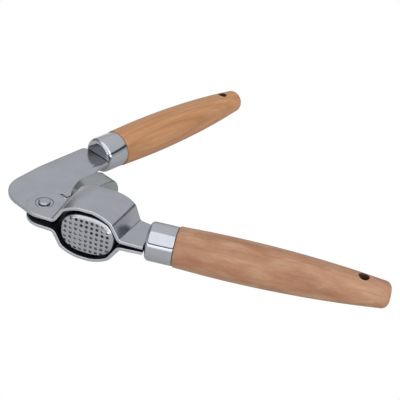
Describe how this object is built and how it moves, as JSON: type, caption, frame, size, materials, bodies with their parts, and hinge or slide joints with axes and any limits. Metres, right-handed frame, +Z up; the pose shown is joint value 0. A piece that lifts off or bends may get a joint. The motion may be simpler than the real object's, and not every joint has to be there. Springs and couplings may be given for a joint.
{
  "type": "garlic press",
  "caption": "Hand-held garlic press: pressed steel head with a perforated cup, a swinging lever with a self-aligning plunger, and turned wooden handles.",
  "frame": {"origin": "middle of the flat land on the crest of the lower front shell, straight below the cup, on the surface that the press lies on", "axes": "+Z up along the hinge axis, +X along the head towards the front handle, -Y is the way the perforated face looks"},
  "size_m": [0.2161, 0.1963, 0.0324],
  "materials": {
    "polished_steel": "polished stainless sheet with softly rounded cut edges",
    "ferrule_steel": "polished drawn stainless",
    "inner_steel": "plain mill finish",
    "front_wood": "turned, oiled, pinkish tan with a wavy figure",
    "rear_wood": "turned, oiled, orange tan with fine straight grain"
  },
  "bodies": {
    "front_arm": {"front_shell_top": "polished_steel", "front_shell_bottom": "polished_steel", "front_tongue_top": "inner_steel", "front_tongue_bottom": "inner_steel", "strainer_cup": "polished_steel", "front_ferrule": "ferrule_steel", "front_handle": "front_wood", "front_tang_rod": "inner_steel", "hinge_rivet": "polished_steel", "hinge_bush": "inner_steel", "hinge_spacer_top": "inner_steel", "hinge_spacer_bottom": "inner_steel", "hinge_washer_top": "polished_steel", "hinge_washer_bottom": "polished_steel"},
    "rear_arm": {"rear_plate": "polished_steel", "rear_ferrule": "ferrule_steel", "rear_handle": "rear_wood", "rear_tang_rod": "inner_steel"},
    "plunger": {"plunger_cap": "polished_steel", "plunger_bracket": "inner_steel", "plunger_pin": "inner_steel"}
  },
  "joints": [
    {"name": "arm_hinge", "type": "hinge", "parent": "front_arm", "child": "rear_arm", "pos_m": [-0.0288, 0.00055, 0.01621], "axis": [0, 0, 1], "range_deg": [-62, 60]},
    {"name": "plunger_pivot", "type": "hinge", "parent": "rear_arm", "child": "plunger", "pos_m": [-0.01243, 0.026, 0.01621], "axis": [0, 0, 1], "range_deg": [-3, 0.5]}
  ]
}
